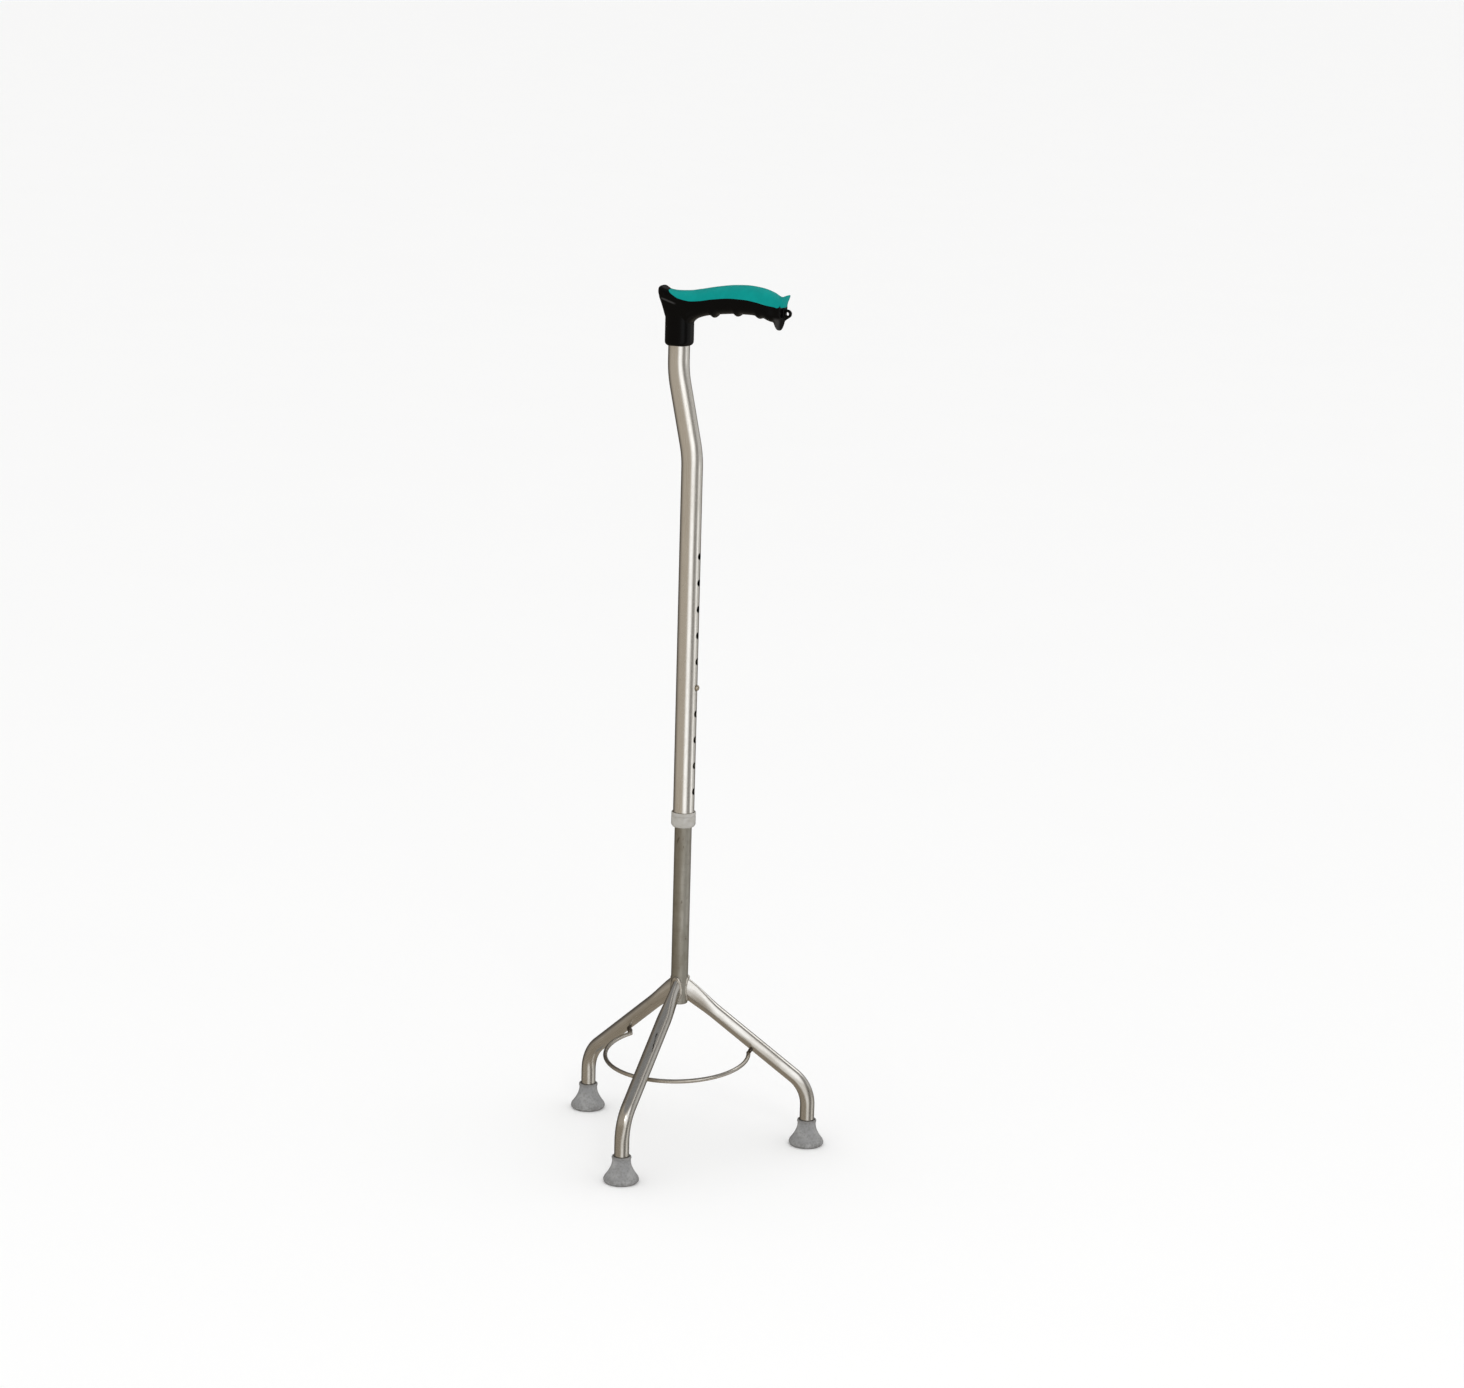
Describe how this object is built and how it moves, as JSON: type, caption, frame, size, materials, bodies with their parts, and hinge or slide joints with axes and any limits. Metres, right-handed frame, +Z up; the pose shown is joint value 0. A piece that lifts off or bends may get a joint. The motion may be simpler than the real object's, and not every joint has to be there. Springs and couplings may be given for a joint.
{
  "type": "tripod walking cane",
  "caption": "Tripod walking cane with a palm grip, swan-necked telescoping shaft, sprung height button, bent legs on bell tips and an open brace ring.",
  "frame": {"origin": "on the floor, under the centre of the object's bounding box", "axes": "+Z up along the tubes, +X towards the grip's nose, -Y towards the middle leg; the tubes' axis stands 39.2 mm from the origin along +Y"},
  "size_m": [0.2698, 0.2112, 0.8411],
  "materials": {
    "handle_black": "satin black moulded plastic",
    "grip_teal": "soft satin teal overmould",
    "plug_plastic": "plain moulded plastic",
    "zinc_steel": "zinc plated",
    "upper_aluminium": "satin anodised",
    "collar_plastic": "smooth pale grey, slightly milky",
    "button_brass": "bright turned brass",
    "spring_steel": "blued strip",
    "bush_nylon": "natural nylon",
    "lower_steel": "dull nickel, faintly stained",
    "leg_steel": "worn nickel plating with streaks and scratches",
    "tip_rubber": "mid grey, scuffed",
    "rod_steel": "nickel plated rod"
  },
  "bodies": {
    "base": {"lower_tube": "lower_steel", "glide_bush": "bush_nylon", "stub_plug": "plug_plastic", "button_spring": "spring_steel", "leg_front": "leg_steel", "leg_right": "leg_steel", "leg_left": "leg_steel", "tip_front": "tip_rubber", "tip_right": "tip_rubber", "tip_left": "tip_rubber", "washer_front": "zinc_steel", "washer_right": "zinc_steel", "washer_left": "zinc_steel", "brace_ring": "rod_steel"},
    "upper": {"upper_tube": "upper_aluminium", "tube_collar": "collar_plastic", "handle_body": "handle_black", "grip_pad": "grip_teal", "handle_plug": "plug_plastic", "handle_screw": "zinc_steel"},
    "button": {"snap_button": "button_brass"}
  },
  "joints": [
    {"name": "height_adjust", "type": "slide", "parent": "base", "child": "upper", "axis": [0, 0, 1], "range_m": [-0.127, 0.1016], "deforming": ["snap_button"]},
    {"name": "button_press", "type": "slide", "parent": "base", "child": "button", "axis": [-1, 0, 0], "range_m": [0, 0.0042], "stiffness_N_per_m": 900, "springref_m": -0.002, "deforming": ["button_spring"]}
  ]
}
